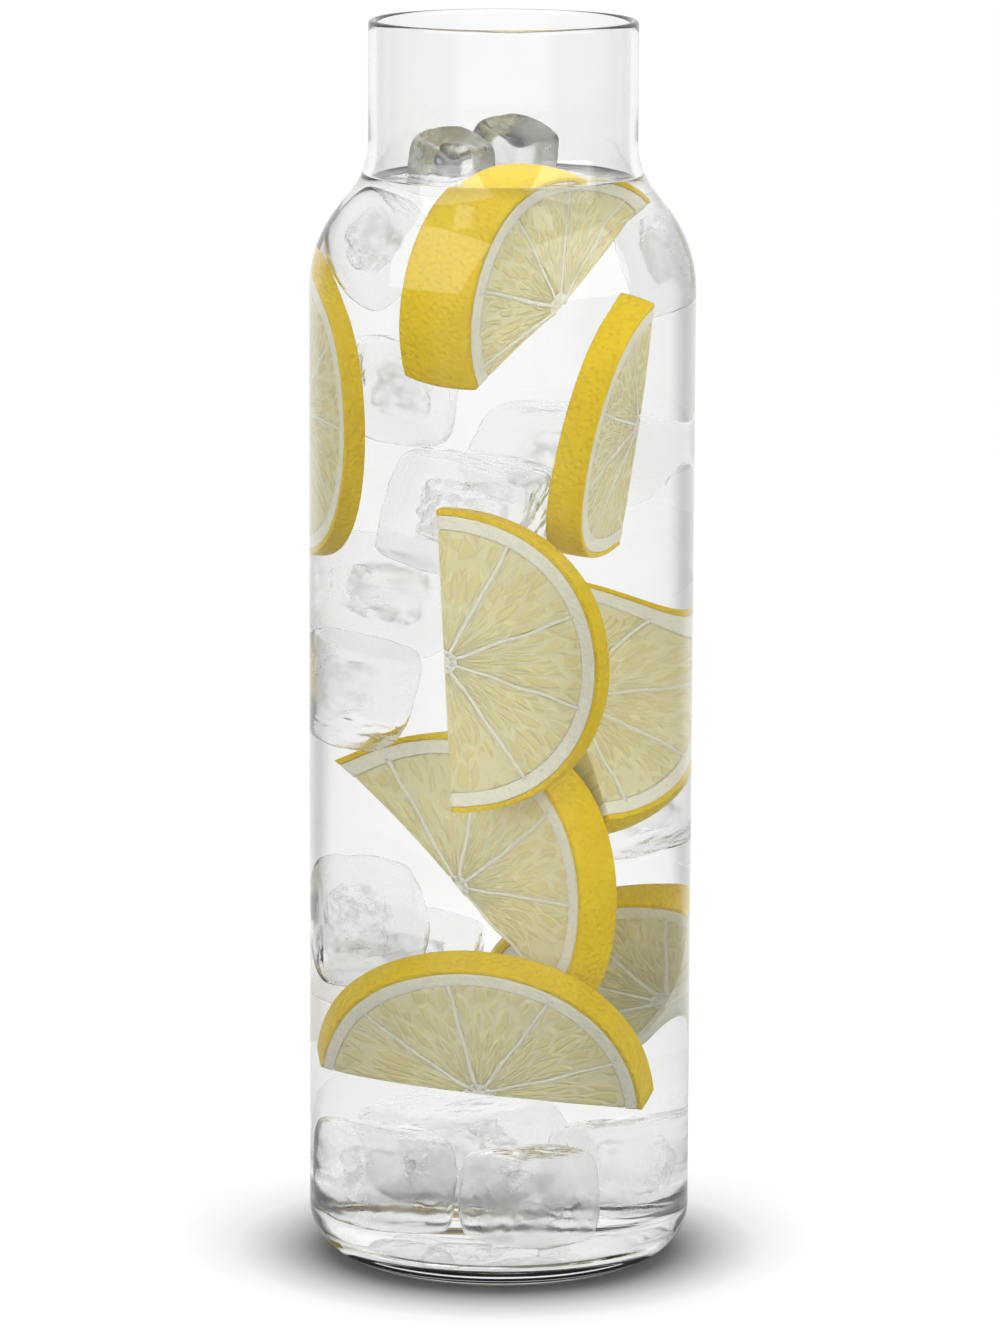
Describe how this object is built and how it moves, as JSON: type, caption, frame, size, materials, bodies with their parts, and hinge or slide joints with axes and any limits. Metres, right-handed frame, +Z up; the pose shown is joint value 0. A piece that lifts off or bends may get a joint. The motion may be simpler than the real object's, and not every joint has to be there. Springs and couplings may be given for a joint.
{
  "type": "water carafe",
  "caption": "Cylindrical clear glass carafe with rounded shoulders and a narrow plain neck, filled with water, ice cubes and cut lemon pieces",
  "frame": {"origin": "middle of the standing ring, on the table", "axes": "+Z up along the bottle's axis to the mouth; -Y faces the viewer of the picture; +X is to that viewer's right"},
  "size_m": [0.08, 0.08, 0.2595],
  "materials": {
    "clear_glass": "polished",
    "water": "gloss",
    "lemon_peel": "satin",
    "lemon_pith": "matte",
    "lemon_pulp": "gloss",
    "clear_ice": "gloss"
  },
  "bodies": {
    "vessel": {"glass_carafe": "clear_glass", "water": "water", "top_wedge_peel": "lemon_peel", "top_wedge_pith": "lemon_pith", "top_wedge_pulp": "lemon_pulp", "left_slice_peel": "lemon_peel", "left_slice_pith": "lemon_pith", "left_slice_pulp": "lemon_pulp", "right_slice_peel": "lemon_peel", "right_slice_pith": "lemon_pith", "right_slice_pulp": "lemon_pulp", "centre_slice_peel": "lemon_peel", "centre_slice_pith": "lemon_pith", "centre_slice_pulp": "lemon_pulp", "back_slice_peel": "lemon_peel", "back_slice_pith": "lemon_pith", "back_slice_pulp": "lemon_pulp", "lower_slice_peel": "lemon_peel", "lower_slice_pith": "lemon_pith", "lower_slice_pulp": "lemon_pulp", "low_right_slice_peel": "lemon_peel", "low_right_slice_pith": "lemon_pith", "low_right_slice_pulp": "lemon_pulp", "bottom_slice_peel": "lemon_peel", "bottom_slice_pith": "lemon_pith", "bottom_slice_pulp": "lemon_pulp", "ice_shoulder_left": "clear_ice", "ice_shoulder_right": "clear_ice", "ice_upper_left": "clear_ice", "ice_upper_middle": "clear_ice", "ice_upper_back": "clear_ice", "ice_back_left": "clear_ice", "ice_middle_left": "clear_ice", "ice_lower_left": "clear_ice", "ice_lower_back": "clear_ice", "ice_lower_right": "clear_ice", "ice_floor_left": "clear_ice", "ice_floor_front": "clear_ice", "ice_floor_right": "clear_ice", "ice_floor_back": "clear_ice"},
    "right_cube": {"ice_top_right": "clear_ice"},
    "left_cube": {"ice_top_left": "clear_ice"}
  },
  "joints": [
    {"name": "right_cube_lift", "type": "slide", "parent": "vessel", "child": "right_cube", "axis": [0, 0, 1], "range_m": [0, 0.06], "deforming": ["water"]},
    {"name": "left_cube_lift", "type": "slide", "parent": "vessel", "child": "left_cube", "axis": [0, 0, 1], "range_m": [0, 0.06], "deforming": ["water"]}
  ]
}
